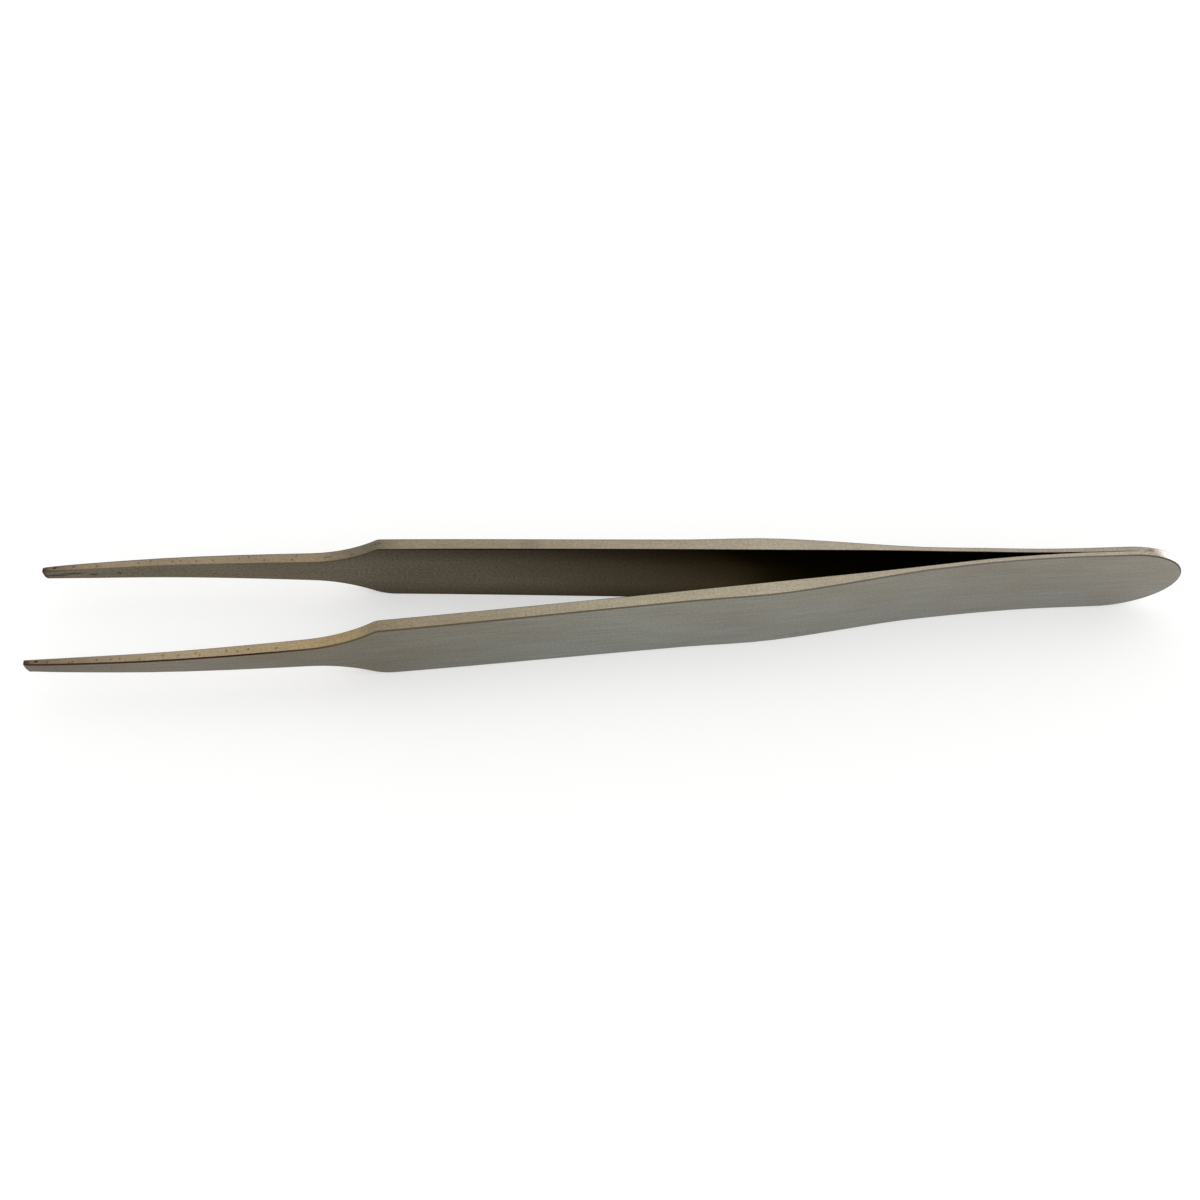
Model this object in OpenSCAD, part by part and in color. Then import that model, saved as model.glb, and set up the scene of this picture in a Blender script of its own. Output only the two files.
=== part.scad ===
// Flat tip watchmaker tweezers: two spring legs, mirror images, joined face to face at the tail.
// The tips point along -X, the tail along +X and the part stands on its lower long edges at z = 0.

/* [Overall] */
// Length from the tips to the end of the tail
length = 120; // [105:1:150]
// Thickness of a leg from the shoulder back
leg_t = 1.35; // [0.8:0.05:1.8]
// Thickness of a leg at its thickest, where the ramp to the thin tail begins
root_t = 1.55; // [0.8:0.05:2.2]

/* [Spread at rest] */
// Clear gap between the gripping pads
tip_gap = 10.4; // [7:0.1:14]
// Clear gap between the legs at the shoulder corners
shoulder_gap = 8.5; // [5:0.1:11]
// Clear gap a third of the way from the shoulder to the joined tail
front_gap = 5.8; // [4.5:0.1:8]
// Clear gap two thirds of the way from the shoulder to the joined tail
rear_gap = 2.8; // [1.5:0.1:4]

/* [Nose] */
// Distance from the tips to the shoulder corners
nose_len = 34; // [28:0.5:42]
// Height of the flat tip
tip_h = 1.3; // [0.8:0.1:2.5]
// Height that the nose's taper would reach at the shoulder corners
neck_h = 3.8; // [2.5:0.05:5]
// Thickness of a leg at the very tip
tip_t = 0.5; // [0.15:0.05:0.7]
// Length of the straight gripping pads behind the tips
pad_len = 9; // [5:0.5:14]

/* [Shoulder] */
// Height of a leg at the shoulder corners
shoulder_h = 8.2; // [6.5:0.1:9.5]
// Radius of the hollows that lead from the nose up and down to the shoulder corners
hollow_r = 13; // [9:0.5:22]
// Radius of the crisp upper shoulder corner
upper_corner_r = 1.2; // [0.2:0.1:2.5]
// Radius of the soft lower shoulder corner
lower_corner_r = 5; // [1:0.5:8]

/* [Tail] */
// Height of a leg at the tail
tail_h = 9.9; // [8:0.1:12]
// Length of the tail that has the full height, its round end included
full_len = 23; // [16:1:34]
// Thickness of a leg along the thin tail
tail_t = 0.6; // [0.35:0.05:1.1]
// Length of the thin tail
thin_len = 28; // [20:1:34]
// Length of the ground ramp from full thickness to the thin tail
ramp_len = 17; // [8:1:28]
// Length over which a leg thickens just before the ramp
swell_len = 10; // [4:1:18]
// Length of the tail along which the legs are joined
joint_len = 12.5; // [9:0.5:17]
// Length of the round end
round_len = 7.6; // [4:0.1:9]

/* [Hidden] */

// spacing of the sections along a leg, and the turn between two points of an arc
section_step = 2.5;
arc_step = 3;
nose_sections = 12;

// where the legs come together, where the ramp begins and where the taper in height ends, from the tips
joint_x = length - joint_len;
ramp_x = length - thin_len - ramp_len;
taper_x = length - full_len;
third = (joint_x - nose_len) / 3;

// half of the clear gap at its named places
SPREAD = [
    [pad_len, tip_gap / 2],
    [nose_len, shoulder_gap / 2],
    [nose_len + third, front_gap / 2],
    [nose_len + 2 * third, rear_gap / 2],
    [joint_x, 0]
];

// straight lines of half height over x, each as its height at the tips and its slope
nose_slope = (neck_h - tip_h) / 2 / nose_len;
NOSE_LINE = [tip_h / 2, nose_slope];
body_slope = (tail_h - shoulder_h) / 2 / (taper_x - nose_len);
BODY_LINE = [shoulder_h / 2 - body_slope * nose_len, body_slope];

// thickness of a leg at its named places behind the nose
THICKNESS = [
    [nose_len, leg_t],
    [ramp_x - swell_len, leg_t],
    [ramp_x, root_t],
    [ramp_x + ramp_len, tail_t]
];

// smooth step from 0 to 1, and points at an even spacing with both ends in
function ease(u) = let(c = min(max(u, 0), 1)) c * c * (3 - 2 * c);
function evenly(a, b, step) = let(n = ceil((b - a) / step)) [for (i = [0 : n]) a + (b - a) * i / n];

// smooth curve through stations, level at both ends
function slope_at(p, i) =
    i == 0 || i == len(p) - 1 ? 0 : (p[i + 1].y - p[i - 1].y) / (p[i + 1].x - p[i - 1].x);
function curve_part(p, i, x) =
    let(w = p[i + 1].x - p[i].x, u = (x - p[i].x) / w)
    p[i].y + (p[i + 1].y - p[i].y) * ease(u)
    + w * u * (1 - u) * ((1 - u) * slope_at(p, i) - u * slope_at(p, i + 1));
function curve(p, x) =
    x <= p[0].x ? p[0].y
    : x >= p[len(p) - 1].x ? p[len(p) - 1].y
    : curve_part(p, [for (i = [0 : len(p) - 2]) if (x < p[i + 1].x) i][0], x);

// the nose is domed on its outside, so its thickness grows with the root of the distance from the tip
function thickness(x) =
    x < nose_len ? tip_t + (leg_t - tip_t) * sqrt(x / nose_len) : curve(THICKNESS, x);
function inner(x) = curve(SPREAD, x);
function outer(x) = inner(x) + thickness(x);

// plan of a leg: its inner face from tip to tail, then its outer face back
inner_at = concat([0], evenly(pad_len, joint_x, section_step), [length]);
dome_at = [for (i = [0 : nose_sections - 1]) nose_len * pow(i / nose_sections, 2)];
outer_at = concat(dome_at, evenly(nose_len, joint_x, section_step), [length]);
PLAN = concat(
    [for (x = inner_at) [x, inner(x)]],
    [for (i = [len(outer_at) - 1 : -1 : 0]) [outer_at[i], outer(outer_at[i])]]
);

// height of a line at x, the same line moved out by d, and a point on a line at distance r from c
function on(line, x) = line[0] + line[1] * x;
function moved(line, d) = [line[0] + d * sqrt(1 + line[1] * line[1]), line[1]];
function met(line, c, r, side) =
    let(
        a = 1 + line[1] * line[1],
        b = line[1] * (line[0] - c.y) - c.x,
        k = c.x * c.x + pow(line[0] - c.y, 2) - r * r,
        x = (-b + side * sqrt(b * b - a * k)) / a
    )
    [x, on(line, x)];
function arc(c, r, from, to) =
    let(n = ceil(abs(to - from) / arc_step))
    [for (i = [0 : n]) let(a = from + (to - from) * i / n) [c.x + r * cos(a), c.y + r * sin(a)]];

// half height of a leg from tip to tail: nose, hollow, shoulder corner, body and round end
hollow = met(moved(NOSE_LINE, hollow_r), [nose_len, shoulder_h / 2], hollow_r, -1);
function edge(corner_r) =
    let(
        corner = met(moved(BODY_LINE, -corner_r), hollow, hollow_r + corner_r, 1),
        turn = atan2(corner.y - hollow.y, corner.x - hollow.x)
    )
    concat(
        [[0, tip_h / 2]],
        arc(hollow, hollow_r, atan(nose_slope) - 90, turn),
        arc(corner, corner_r, turn + 180, atan(body_slope) + 90),
        [[taper_x, tail_h / 2]],
        [for (a = [90 : -arc_step * 2 : 0]) [length - round_len * (1 - cos(a)), tail_h / 2 * sin(a)]]
    );

// the nose is centred on a level line, the body on one that rises as the body grows towards the tail
function middle(x) = on(BODY_LINE, min(max(x, nose_len), taper_x));
upper = [for (p = edge(upper_corner_r)) [p.x, middle(p.x) + p.y]];
lower = [for (p = edge(lower_corner_r)) [p.x, middle(p.x) - p.y]];
SIDE = concat(upper, [for (i = [len(lower) - 2 : -1 : 0]) lower[i]]);

// one leg on the +Y side, its plan cut to its side view
module leg() {
    translate([-length / 2, 0, 0]) intersection() {
        linear_extrude(height = max(tail_h, shoulder_h)) polygon(PLAN);
        rotate([90, 0, 0]) linear_extrude(height = tip_gap + 2 * max(leg_t, root_t), center = true) polygon(SIDE);
    }
}

module far_leg() {
    color([0.53, 0.51, 0.47]) leg();
}

module near_leg() {
    color([0.57, 0.55, 0.51]) mirror([0, 1, 0]) leg();
}

near_leg();
far_leg();
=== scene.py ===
"""Flat tip watchmaker tweezers: satin-finished spring legs on a pale floor under soft studio light."""
import math
from bisect import bisect_left

import bmesh
import bpy
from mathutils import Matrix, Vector


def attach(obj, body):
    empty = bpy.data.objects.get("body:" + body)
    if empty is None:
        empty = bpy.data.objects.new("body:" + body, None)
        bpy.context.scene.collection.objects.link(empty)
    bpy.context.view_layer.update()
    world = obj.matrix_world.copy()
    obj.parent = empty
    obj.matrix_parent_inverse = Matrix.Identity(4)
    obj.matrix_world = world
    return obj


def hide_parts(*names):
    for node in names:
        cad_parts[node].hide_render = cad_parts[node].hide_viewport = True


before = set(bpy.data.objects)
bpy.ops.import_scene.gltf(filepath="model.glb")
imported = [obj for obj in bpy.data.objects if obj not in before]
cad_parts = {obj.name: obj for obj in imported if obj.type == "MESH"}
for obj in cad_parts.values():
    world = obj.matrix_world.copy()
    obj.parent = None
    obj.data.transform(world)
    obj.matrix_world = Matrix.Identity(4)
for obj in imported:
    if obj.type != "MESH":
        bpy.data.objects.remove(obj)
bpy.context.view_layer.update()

MM = 0.001

# The long edges are broken, the outside ones more than the inside ones
OUTER_BREAK = 0.13 * MM
OUTER_STEPS = 3
INNER_BREAK = 0.08 * MM
INNER_STEPS = 2
# The lower corner of each tip is worn round
TIP_ROUND = 0.35 * MM
TIP_STEPS = 4
# Edges that turn more than the first are broken, and those that turn more than the second are creases
SHARP_ANGLE = math.radians(35)
CRISP_ANGLE = math.radians(60)
# Faces that turn less than this from each other are one flat face
FLAT_ANGLE = math.radians(0.02)
# Points closer than the first are one point, and points closer than the second to the tip's end lie on it
SAME_PLACE = 0.0001 * MM
SAME_PLANE = 0.001 * MM
# A face whose normal points sideways by more than this is an outer or an inner face, not a long edge
FACING = 0.7
# The steels of a leg, in the order of its material slots
FLANK, EDGE, OUTER_ARRIS, INSIDE, INNER_ARRIS = range(5)

# Camera of the photograph: its place, its turn in degrees and its lens in millimetres
CAMERA_PLACE = Vector((-15.652, -67.571, 108.377)) * MM
CAMERA_TURN = (33.143, -3.702, -4.747)
CAMERA_LENS = 35.811

# Half of the part's length and a leg's full height, in millimetres
HALF_LENGTH = 60.0
LEG_HEIGHT = 9.9
# Heights in millimetres between which an inner face changes towards its upper and its lower edge: its
# painted shade deepens there, and its tones run ahead along the upper one
UPPER_RIM = (6.1, 8.9)
LOWER_RIM = (2.6, 0.2)
# From the middle, in millimetres: where the round end begins, and where the seam of the legs stops showing
ROUND_START = 52.4
SEAM_END = 54.1

# Cloudy patches: length and width in millimetres, how much they lighten or darken the steel, and how far
# they shift the change from warm to cool
CLOUD_SIZE = (9.0, 3.5)
CLOUD_STRENGTH = 0.16
CLOUD_SHIFT = 1.2
# Length and width of the grit in millimetres. The real grain and grit are too fine to show, so both are
# drawn a few times coarser
GRIT_SIZE = (0.26, 0.18)
# Pits, in millimetres: the radii between which one fades out, how far one strays to either side of the
# row, and the length over which the row thins out
PIT_RADIUS = (0.05, 0.18)
PIT_STRAY = 0.22
PIT_THINNING = 4.0
# How dark a pit is, and the colour of pits and stains
PIT_STAIN = 0.5
STAIN_COLOUR = "2A2119"
# A stain is full up to the first share of its radius and gone past the second
STAIN_FADE = (0.4, 1.2)
# Depth and strength of the grain's relief, and how much the grain changes the roughness
RELIEF_DEPTH = 0.004 * MM
RELIEF_STRENGTH = 0.6
ROUGHNESS_CHANGE = 0.06
# Where a tint warms or cools the steel, red changes by this share of what blue does
RED_SHARE = 0.7

# Half of the floor's side in metres, its colour, and how much of white it gains where it is looked at
FLOOR_REACH = 2.0
FLOOR_COLOUR = "D2D2D1"
FLOOR_LIFT = 0.45
# Strength of the studio's light, how it rises to the right, behind and overhead, and the heights between
# which its white turns to that light where it is looked at
SKY_LEVEL = 0.74
SKY_RISE = (0.16, 0.24, 0.24)
SKY_WHITE = (0.3, 0.55)
# The window: place and side in metres, power in watts
WINDOW_PLACE = Vector((0.52, 0.3, 0.04))
WINDOW_SIDE = 0.3
WINDOW_POWER = 0.6


def linear(hex_colour):
    """Linear RGBA of an sRGB hex colour."""
    parts = [int(hex_colour[i : i + 2], 16) / 255 for i in (0, 2, 4)]
    return [p / 12.92 if p <= 0.04045 else ((p + 0.055) / 1.055) ** 2.4 for p in parts] + [1.0]


def node(tree, kind, inputs=(), **settings):
    """Adds a node with its settings. A node or socket among its inputs is linked, and a value is set."""
    made = tree.nodes.new(kind)
    for name, value in settings.items():
        setattr(made, name, value)
    pairs = inputs.items() if isinstance(inputs, dict) else enumerate(inputs)
    for name, value in pairs:
        if isinstance(value, bpy.types.Node):
            value = value.outputs[0]
        if isinstance(value, bpy.types.NodeSocket):
            tree.links.new(value, made.inputs[name])
        else:
            made.inputs[name].default_value = value
    return made


# Materials. Each finish goes through a few tones on the way from the tip over nose, shoulder and body to the
# tail


def patches(tree, place, size, detail):
    """Irregular patches of a length and width in millimetres, one half on average."""
    sized = node(tree, "ShaderNodeMapping", {"Vector": place, "Scale": (1 / size[0], 1 / size[1], 1)})
    return node(tree, "ShaderNodeTexNoise", {"Vector": sized, "Scale": 1.0, "Detail": detail})


def pit_row(tree, along, spacing, share, last, start, side):
    """One inside the small pits of a loose row along the nose, nought beside them."""
    steps = node(tree, "ShaderNodeMath", (along["X"], spacing), operation="DIVIDE")
    spot = node(tree, "ShaderNodeMath", (steps, start), operation="ADD")
    row = node(tree, "ShaderNodeTexVoronoi", {"W": spot, "Scale": 1.0}, voronoi_dimensions="1D").outputs
    chance = node(tree, "ShaderNodeSeparateColor", (row["Color"],)).outputs
    level = node(tree, "ShaderNodeMapRange", (chance["Green"], 0, 1, side - PIT_STRAY, side + PIT_STRAY))
    gap = node(tree, "ShaderNodeCombineXYZ", (
        node(tree, "ShaderNodeMath", (row["Distance"], spacing), operation="MULTIPLY"),
        node(tree, "ShaderNodeMath", (along["Y"], level), operation="SUBTRACT"),
    ))
    far = node(tree, "ShaderNodeVectorMath", (gap,), operation="LENGTH").outputs["Value"]
    hole = node(tree, "ShaderNodeMapRange", (far, *PIT_RADIUS, 1, 0))
    end = last - HALF_LENGTH
    kept = node(tree, "ShaderNodeMapRange", (along["X"], end - PIT_THINNING, end, share, 0))
    chosen = node(tree, "ShaderNodeMath", (chance["Red"], kept), operation="LESS_THAN")
    return node(tree, "ShaderNodeMath", (hole, chosen), operation="MULTIPLY")


def oval(tree, place, distance, height, length, width, share):
    """A soft oval stain of the given share in its middle, nought outside."""
    centred = node(tree, "ShaderNodeMapping", {
        "Vector": place,
        "Location": (distance - HALF_LENGTH, height, 0),
        "Scale": (length / 2, width / 2, 1),
    }, vector_type="TEXTURE")
    far = node(tree, "ShaderNodeVectorMath", (centred,), operation="LENGTH").outputs["Value"]
    return node(tree, "ShaderNodeMapRange", (far, *STAIN_FADE, share, 0))


def satin_steel(
    name, tones, roughness, grain,
    pits=None, stains=(), tint=0.0, grit=0.3, dim=None, ahead=0.0, glance=None,
):
    """Stainless steel with a fine lengthwise satin grain.

    tones: colour at each distance from the tip in millimetres
    grain: length and width of a grain mark in millimetres, and how much it lightens or darkens
    pits: spacing in millimetres, share that shows, distance from the tip where they end, start of the row,
        and how far to the side it lies
    stains: distance from the tip, height, length and width in millimetres and darkness of each oval stain
    tint: how much cooler the lower half is than the upper one
    grit: how much the fine grit lightens or darkens
    dim: how much painted shade darkens the steel along its upper and its lower edge
    ahead: how many millimetres the colours, painted shade among them, run ahead along the upper edge
    glance: colour of the shine at a flat angle
    """
    material = bpy.data.materials.new(name)
    material.use_nodes = True
    tree = material.node_tree
    shader = tree.nodes["Principled BSDF"]
    place = node(tree, "ShaderNodeUVMap", uv_map="along_and_across")
    along = node(tree, "ShaderNodeSeparateXYZ", (place,)).outputs
    # Tone from tip to tail, which for some finishes carries painted light and shade
    reached = along["X"]
    # The tones, painted shade among them, run ahead along the upper edge
    if ahead:
        lead = node(tree, "ShaderNodeMapRange", (along["Y"], *UPPER_RIM, 0, ahead))
        reached = node(tree, "ShaderNodeMath", (reached, lead), operation="ADD")
    share = node(tree, "ShaderNodeMapRange", (reached, -HALF_LENGTH, HALF_LENGTH, 0, 1))
    colour = node(tree, "ShaderNodeValToRGB", (share,))
    steps = colour.color_ramp.elements
    while len(steps) < len(tones):
        steps.new(0.5)
    for step, (distance, tone) in zip(steps, tones):
        step.position = distance / (2 * HALF_LENGTH)
        step.color = linear(tone)
    # Grain marks, cloudy patches and fine grit
    marks = patches(tree, place, grain[:2], detail=3.0)
    cloud = patches(tree, place, CLOUD_SIZE, detail=2.0)
    specks = patches(tree, place, GRIT_SIZE, detail=1.0)
    light = 1.0
    for pattern, strength in ((marks, grain[2]), (cloud, CLOUD_STRENGTH), (specks, grit)):
        change = node(tree, "ShaderNodeMapRange", (pattern, 0, 1, 1 - strength, 1 + strength), clamp=False)
        light = node(tree, "ShaderNodeMath", (light, change), operation="MULTIPLY")
    if tint:
        low = node(tree, "ShaderNodeMapRange", (along["Y"], 0, LEG_HEIGHT, 1, 0))
        shift = node(tree, "ShaderNodeMapRange", (cloud, 0, 1, -CLOUD_SHIFT, CLOUD_SHIFT))
        cast = node(tree, "ShaderNodeMix", {
            0: node(tree, "ShaderNodeMath", (low, shift), operation="ADD"),
            6: (1 + tint * RED_SHARE, 1, 1 - tint, 1),
            7: (1 - tint * RED_SHARE, 1, 1 + tint, 1),
        }, data_type="RGBA")
        colour = node(tree, "ShaderNodeVectorMath", (colour, cast.outputs[2]), operation="MULTIPLY")
    # Painted shade along the upper and the lower edge
    if dim:
        for rim, darker in zip((UPPER_RIM, LOWER_RIM), dim):
            change = node(tree, "ShaderNodeMapRange", (along["Y"], *rim, 1, 1 - darker))
            light = node(tree, "ShaderNodeMath", (light, change), operation="MULTIPLY")
    toned = node(tree, "ShaderNodeVectorMath", {"Vector": colour, "Scale": light}, operation="SCALE")
    # Pits and stains
    height = marks
    stain = 0.0
    if pits:
        pit = pit_row(tree, along, *pits)
        height = node(tree, "ShaderNodeMath", (marks, pit), operation="SUBTRACT")
        stain = node(tree, "ShaderNodeMath", (pit, PIT_STAIN), operation="MULTIPLY")
    for spot in stains:
        stain = node(tree, "ShaderNodeMath", (stain, oval(tree, place, *spot)), operation="MAXIMUM")
    stained = node(tree, "ShaderNodeMix", {0: stain, 6: toned, 7: linear(STAIN_COLOUR)}, data_type="RGBA")
    relief = node(tree, "ShaderNodeBump", {
        "Height": height, "Distance": RELIEF_DEPTH, "Strength": RELIEF_STRENGTH,
    })
    rough = node(tree, "ShaderNodeMapRange", (
        marks, 0, 1, roughness - ROUGHNESS_CHANGE, roughness + ROUGHNESS_CHANGE,
    ))
    shader.inputs["Metallic"].default_value = 1.0
    if glance:
        shader.inputs["Specular Tint"].default_value = linear(glance)
    tree.links.new(stained.outputs[2], shader.inputs["Base Color"])
    tree.links.new(rough.outputs[0], shader.inputs["Roughness"])
    tree.links.new(relief.outputs[0], shader.inputs["Normal"])
    return material


# Outer faces, belt-finished lengthwise: a cool grey with faint streaks, and a few spots near the tip
flank_steel = satin_steel("satin_flank_steel", (
    (0.0, "4A4035"), (0.2, "665D50"), (11.0, "7A7467"),
    (32.0, "746E61"), (57.0, "87877E"), (120.0, "878278"),
), roughness=0.36, grain=(7.0, 0.25, 0.3), tint=0.05, stains=(
    (2.9, 4.0, 0.3, 0.25, 0.5),
    (6.3, 4.1, 0.25, 0.25, 0.6),
    (8.2, 4.1, 0.25, 0.25, 0.5),
))

# Long edges, ground across the leg: warmer and brighter than the outer faces. Their tones also carry painted
# light: the golden near nose and the greyer far hollow are painted reflections, each shoulder's corner has a
# painted shadow, and the round end has a painted highlight with a darker band painted just before it
near_edge_steel = satin_steel("ground_edge_steel_near_painted_light", (
    (0.0, "3A2D22"), (0.8, "786A55"), (12.0, "A4947B"), (32.0, "A28E6B"), (33.5, "8A7D66"),
    (60.0, "A39A85"), (112.0, "A69C8D"), (116.3, "958C7F"), (119.0, "F2F0EA"),
), roughness=0.4, grain=(2.5, 0.35, 0.2), grit=0.4, pits=(1.5, 1.0, 25.0, 0.0, -0.12), stains=(
    (1.2, 0.02, 0.5, 0.24, 1.0),
))
far_edge_steel = satin_steel("ground_edge_steel_far_painted_light", (
    (0.0, "3A2D22"), (0.8, "786A55"), (6.0, "988972"), (28.0, "8E7F69"), (33.3, "6C6556"),
    (36.5, "8A7F6B"), (86.0, "AAA08F"), (116.3, "958C7F"), (119.0, "F2F0EA"),
), roughness=0.4, grain=(2.5, 0.35, 0.2), grit=0.4, pits=(1.7, 0.9, 38.0, 3.3, 0.0), stains=(
    (1.2, 0.08, 0.5, 0.24, 1.0),
    (49.4, 0.0, 3.0, 2.0, 0.2),
))

# Outside arrises, rubbed down to a narrow bevel. Their brown hair line beside the bright edge is a painted
# dark reflection, darkest on the nose and again at the round end
outer_arris_steel = satin_steel("arris_steel_painted_dark_reflection", (
    (0.0, "4A3526"), (22.0, "3A2515"), (30.5, "635548"),
    (60.0, "686055"), (108.0, "77716A"), (120.0, "4A443C"),
), roughness=0.45, grain=(3.0, 0.3, 0.1))

# Inside arrises, rubbed down less: as bright as the edge on the nose. Along the body painted shade from
# between the legs makes them dark as far as the joint; from there painted light lifts the groove where the
# legs meet and brightens it towards the round end
inner_arris_steel = satin_steel("crisp_arris_steel_painted_light_and_shade", (
    (0.0, "4A3F33"), (4.0, "7C6E5A"), (20.0, "75684F"), (42.0, "120D08"),
    (106.0, "2A231B"), (108.0, "8E7F69"), (112.5, "958670"), (114.5, "D5C9B8"),
), roughness=0.45, grain=(3.0, 0.3, 0.1))

# Inner faces, left as rolled under a dull film: browner than the outside, with less shine at a flat angle,
# and stained where the pads close. Painted shade darkens them along both long edges and, running ahead along
# the upper edge, the deeper they lie between the legs, to near black towards the joint
inside_steel = satin_steel("dull_inside_steel_painted_shade", (
    (0.0, "3A2F26"), (0.15, "666058"), (3.0, "6E685C"), (45.0, "665E52"),
    (71.2, "463C2C"), (75.2, "211C11"), (79.4, "040301"),
), roughness=0.42, grain=(9.0, 0.25, 0.2), grit=0.7, dim=(0.42, 0.45), ahead=5.0, glance="D3CBBC", stains=(
    (1.3, 4.02, 2.6, 0.34, 0.75),
    (3.0, 4.24, 2.6, 0.34, 0.7),
    (3.5, 3.3, 8.0, 0.45, 0.5),
    (4.9, 3.98, 1.0, 0.34, 0.8),
    (7.5, 4.1, 0.45, 0.4, 0.85),
    (11.5, 4.15, 0.3, 0.3, 0.4),
    (14.0, 4.15, 0.3, 0.3, 0.3),
    (17.0, 3.7, 0.3, 0.3, 0.4),
))


# Legs


def on_line(line, x):
    """Where a sorted line of points stands at x."""
    i = min(max(bisect_left(line, (x, 0.0)), 1), len(line) - 1)
    (x0, y0), (x1, y1) = line[i - 1], line[i]
    return y0 + (y1 - y0) * (x - x0) / max(x1 - x0, SAME_PLACE)


def outer_points(work, side):
    """The points of a leg's outer face."""
    return {v for f in work.faces if f.normal.y * side > FACING for v in f.verts}


def lay_out(work, side):
    """Gives each face of a leg its steel, and a place along and across the leg in millimetres."""
    outside = outer_points(work, side)
    outer_line = sorted((v.co.x, v.co.y) for v in outside)
    inner_line = sorted((v.co.x, v.co.y) for v in work.verts if v not in outside)
    place = work.loops.layers.uv.new("along_and_across")
    for face in work.faces:
        face.smooth = True
        facing = face.normal.y * side
        if facing > FACING:
            face.material_index = FLANK
        elif facing < -FACING:
            face.material_index = INSIDE
        else:
            face.material_index = EDGE
        for loop in face.loops:
            spot = loop.vert.co
            if face.material_index != EDGE:
                loop[place].uv = (spot.x / MM, spot.z / MM)
                continue
            # On the round end the way along the edge turns down or up with it
            turned = 0.0
            if spot.x > ROUND_START * MM:
                turned = LEG_HEIGHT / 2 - abs(spot.z / MM - LEG_HEIGHT / 2)
            centre = (on_line(outer_line, spot.x) + on_line(inner_line, spot.x)) / 2
            loop[place].uv = (spot.x / MM + turned, (spot.y - centre) / MM)


def leg(name, side, edge_steel):
    """The leg of a node with its long edges broken: side is -1 for the near leg and 1 for the far one."""
    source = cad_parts[name]
    work = bmesh.new()
    work.from_mesh(source.data)
    bmesh.ops.remove_doubles(work, verts=work.verts, dist=SAME_PLACE)
    bmesh.ops.dissolve_limit(work, angle_limit=FLAT_ANGLE, verts=work.verts, edges=work.edges)
    work.normal_update()
    lay_out(work, side)
    # Worn lower corner of the tip
    tip = min(v.co.x for v in work.verts) + SAME_PLANE
    foot = min(v.co.z for v in work.verts if v.co.x < tip) + SAME_PLANE
    corner = [e for e in work.edges if all(v.co.x < tip and v.co.z < foot for v in e.verts)]
    bmesh.ops.bevel(
        work, geom=corner, offset=TIP_ROUND, offset_type="OFFSET", affect="EDGES",
        segments=TIP_STEPS, profile=0.5, material=-1, clamp_overlap=False,
    )
    work.normal_update()
    # Broken long edges, the inside ones only as far as the seam shows
    outside = outer_points(work, side)
    long_edges = [
        e for e in work.edges
        if e.calc_face_angle(0) > SHARP_ANGLE and max(v.co.x for v in e.verts) > tip
    ]
    outer_edges = [e for e in long_edges if all(v in outside for v in e.verts)]
    inner_edges = [
        e for e in long_edges
        if not any(v in outside for v in e.verts) and max(v.co.x for v in e.verts) < SEAM_END * MM
    ]
    for edges, width, steps, steel in (
        (outer_edges, OUTER_BREAK, OUTER_STEPS, OUTER_ARRIS),
        (inner_edges, INNER_BREAK, INNER_STEPS, INNER_ARRIS),
    ):
        made = bmesh.ops.bevel(
            work, geom=edges, offset=width, offset_type="OFFSET", affect="EDGES",
            segments=steps, profile=0.5, material=-1, clamp_overlap=False,
        )
        for face in made["faces"]:
            face.smooth = True
            face.material_index = steel
    # Nothing passes the solid's own box, and no face is left without a size
    box = [(min(c), max(c)) for c in zip(*(v.co for v in source.data.vertices))]
    for vert in work.verts:
        vert.co = [min(max(c, low), high) for c, (low, high) in zip(vert.co, box)]
    bmesh.ops.dissolve_degenerate(work, dist=SAME_PLACE, edges=work.edges)
    work.normal_update()
    for edge in work.edges:
        edge.smooth = edge.calc_face_angle(0) < CRISP_ANGLE
    mesh = bpy.data.meshes.new(name + "_steel")
    work.to_mesh(mesh)
    work.free()
    piece = bpy.data.objects.new(name + "_steel", mesh)
    bpy.context.scene.collection.objects.link(piece)
    for material in (flank_steel, edge_steel, outer_arris_steel, inside_steel, inner_arris_steel):
        mesh.materials.append(material)
    shading = piece.modifiers.new("even_shading", "WEIGHTED_NORMAL")
    shading.keep_sharp = True
    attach(piece, "root")
    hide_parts(name)


leg("near_leg", -1, near_edge_steel)
leg("far_leg", 1, far_edge_steel)


# Floor, light and camera


def looked_at(tree):
    """One where the surroundings are seen, straight, in metal or through glass; nought as they light."""
    rays = node(tree, "ShaderNodeLightPath").outputs
    seen = rays["Is Camera Ray"]
    for way in ("Is Glossy Ray", "Is Transmission Ray"):
        seen = node(tree, "ShaderNodeMath", (seen, rays[way]), operation="MAXIMUM")
    return seen


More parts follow.
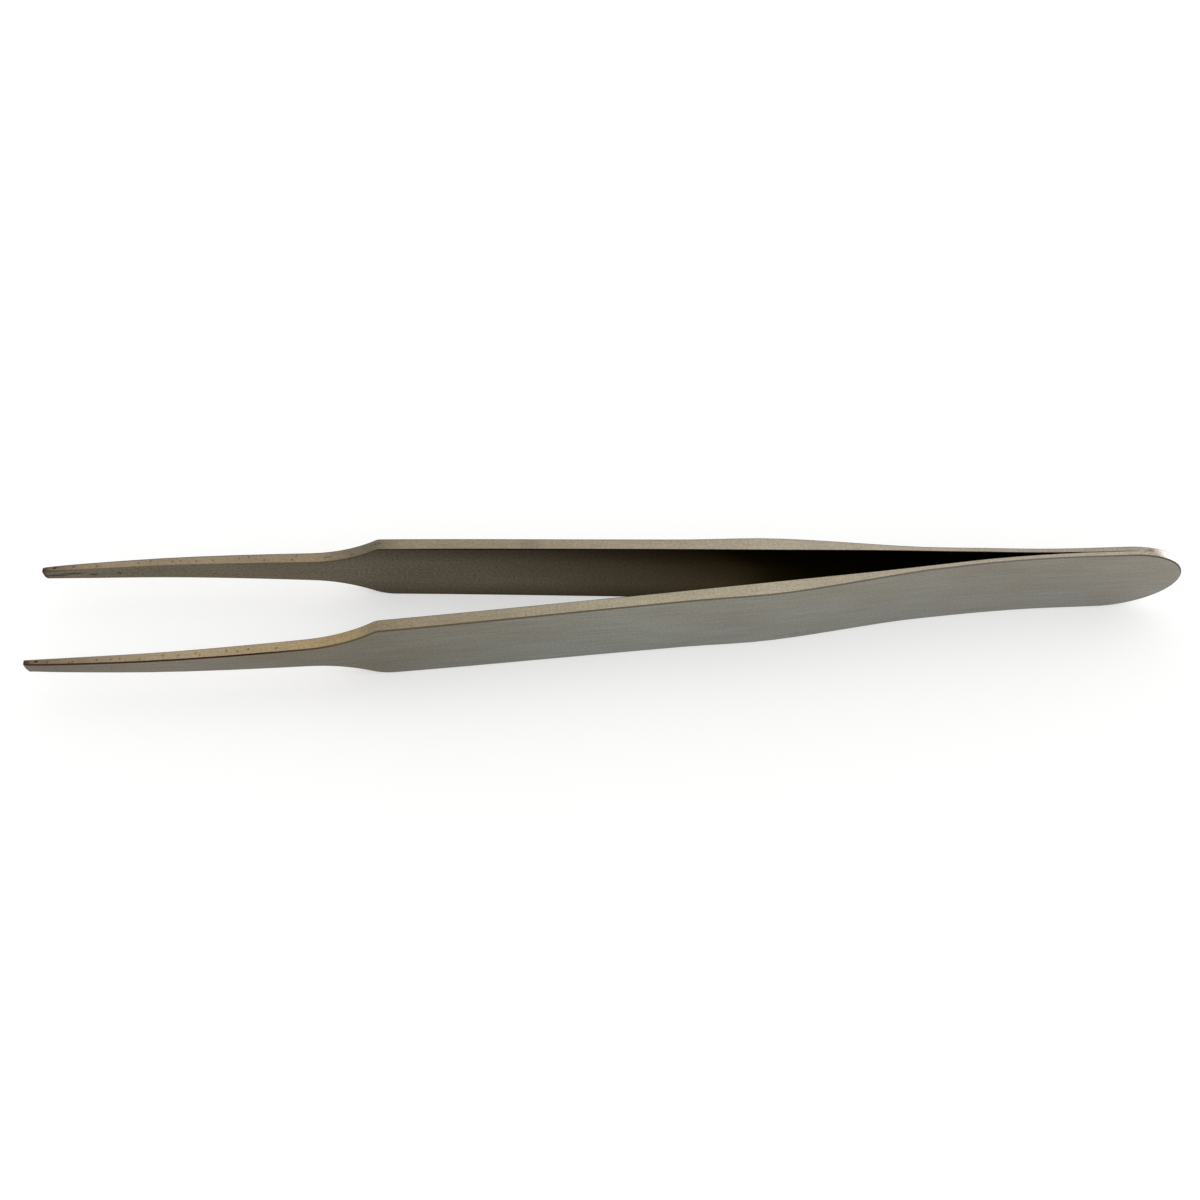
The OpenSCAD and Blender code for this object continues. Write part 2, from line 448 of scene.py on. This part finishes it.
def floor():
    """A pale matt floor that keeps the shadow and is lifted towards white where it is looked at."""
    work = bmesh.new()
    bmesh.ops.create_grid(work, x_segments=1, y_segments=1, size=FLOOR_REACH)
    mesh = bpy.data.meshes.new("floor")
    work.to_mesh(mesh)
    work.free()
    plane = bpy.data.objects.new("floor", mesh)
    bpy.context.scene.collection.objects.link(plane)
    material = bpy.data.materials.new("pale_floor")
    material.use_nodes = True
    tree = material.node_tree
    shader = tree.nodes["Principled BSDF"]
    shader.inputs["Base Color"].default_value = linear(FLOOR_COLOUR)
    shader.inputs["Roughness"].default_value = 0.9
    shader.inputs["Specular IOR Level"].default_value = 0.0
    shader.inputs["Emission Color"].default_value = (1, 1, 1, 1)
    lift = node(tree, "ShaderNodeMath", (looked_at(tree), FLOOR_LIFT), operation="MULTIPLY")
    tree.links.new(lift.outputs[0], shader.inputs["Emission Strength"])
    mesh.materials.append(material)


def window():
    """A square soft lamp, low at the back right, aimed at the middle of the part."""
    lamp = bpy.data.lights.new("window", "AREA")
    lamp.shape = "SQUARE"
    lamp.size = WINDOW_SIDE
    lamp.energy = WINDOW_POWER
    rig = bpy.data.objects.new("window", lamp)
    rig.location = WINDOW_PLACE
    rig.rotation_euler = (-WINDOW_PLACE).to_track_quat("-Z", "Y").to_euler()
    rig.visible_camera = False
    bpy.context.scene.collection.objects.link(rig)


def studio():
    """A pale studio, a little brighter overhead, behind and to the right, and white near the horizon."""
    world = bpy.data.worlds.new("studio")
    bpy.context.scene.world = world
    world.use_nodes = True
    tree = world.node_tree
    way = node(tree, "ShaderNodeTexCoord").outputs["Generated"]
    rise = node(tree, "ShaderNodeVectorMath", (way, SKY_RISE), operation="DOT_PRODUCT").outputs["Value"]
    level = node(tree, "ShaderNodeMath", (rise, SKY_LEVEL), operation="ADD")
    height = node(tree, "ShaderNodeSeparateXYZ", (way,)).outputs["Z"]
    low = node(tree, "ShaderNodeMapRange", (height, *SKY_WHITE, 1, 0))
    white = node(tree, "ShaderNodeMath", (looked_at(tree), low), operation="MULTIPLY")
    strength = node(tree, "ShaderNodeMix", {0: white, 2: level, 3: 1.0})
    background = tree.nodes["Background"]
    background.inputs["Color"].default_value = (1, 1, 1, 1)
    tree.links.new(strength.outputs[0], background.inputs["Strength"])


floor()
studio()
window()

view = bpy.data.cameras.new("photo_view")
view.lens = CAMERA_LENS
view.clip_start = 0.005
camera = bpy.data.objects.new("photo_view", view)
camera.location = CAMERA_PLACE
camera.rotation_euler = [math.radians(a) for a in CAMERA_TURN]
bpy.context.scene.collection.objects.link(camera)
bpy.context.scene.camera = camera
bpy.context.scene.view_settings.view_transform = "Standard"
